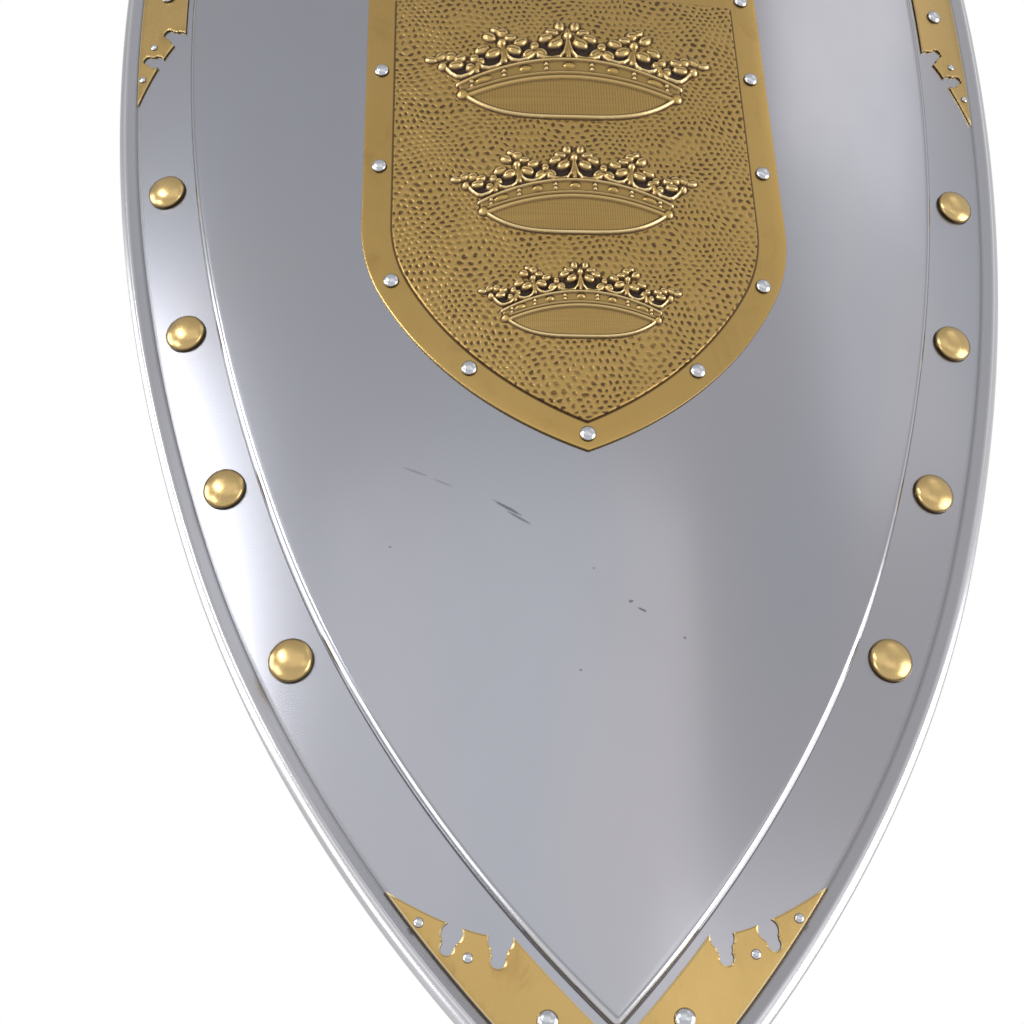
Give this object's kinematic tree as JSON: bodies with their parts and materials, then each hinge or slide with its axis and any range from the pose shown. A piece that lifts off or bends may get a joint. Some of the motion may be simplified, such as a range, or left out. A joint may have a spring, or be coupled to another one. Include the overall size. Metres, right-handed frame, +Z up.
{
  "type": "heater shield",
  "caption": "Curved steel heater shield with a rolled rim, raised field, brass escutcheon embossed with crowns, pierced corner mounts, domed studs, back straps and a hanging ring.",
  "frame": {"origin": "axis of the hanging ring's bar, at the middle of the bar, behind the top of the shield", "axes": "+Z up along the shield's height, the front faces -Y, +X to the right as seen from the front"},
  "size_m": [0.4964, 0.1006, 0.6788],
  "materials": {
    "steel": "satin, lightly scuffed",
    "brass": "satin, dark in the recesses",
    "silver": "bright, plated",
    "leather": "dark brown, waxed"
  },
  "bodies": {
    "shield": {"shield_plate": "steel", "field_plate": "steel", "escutcheon_plate": "brass", "escutcheon_rivet_1": "silver", "escutcheon_rivet_2": "silver", "escutcheon_rivet_3": "silver", "escutcheon_rivet_4": "silver", "escutcheon_rivet_5": "silver", "escutcheon_rivet_6": "silver", "escutcheon_rivet_7": "silver", "escutcheon_rivet_8": "silver", "escutcheon_rivet_9": "silver", "escutcheon_rivet_10": "silver", "escutcheon_rivet_11": "silver", "escutcheon_rivet_12": "silver", "escutcheon_rivet_13": "silver", "band_stud_left_1": "brass", "band_stud_left_2": "brass", "band_stud_left_3": "brass", "band_stud_left_4": "brass", "band_stud_right_1": "brass", "band_stud_right_2": "brass", "band_stud_right_3": "brass", "band_stud_right_4": "brass", "band_stud_top_1": "brass", "band_stud_top_2": "brass", "band_stud_top_3": "brass", "corner_mount_bottom": "brass", "corner_mount_top_left": "brass", "corner_mount_top_right": "brass", "mount_rivet_bottom_1": "silver", "mount_rivet_bottom_2": "silver", "mount_rivet_top_left_1": "silver", "mount_rivet_top_left_2": "silver", "mount_rivet_top_right_1": "silver", "mount_rivet_top_right_2": "silver", "forearm_strap": "leather", "hand_grip": "leather", "forearm_strap_rivet_lower": "steel", "forearm_strap_rivet_upper": "steel", "forearm_strap_washer_lower": "steel", "forearm_strap_washer_upper": "steel", "hand_grip_rivet_lower": "steel", "hand_grip_rivet_upper": "steel", "hand_grip_washer_lower": "steel", "hand_grip_washer_upper": "steel", "hanger_clip": "steel", "hanger_clip_rivet_left": "steel", "hanger_clip_rivet_right": "steel"},
    "ring": {"hanging_ring": "steel"}
  },
  "joints": [
    {"name": "ring_swing", "type": "hinge", "parent": "shield", "child": "ring", "pos_m": [0, 0, 0], "axis": [1, 0, 0], "range_deg": [0, 178]}
  ]
}
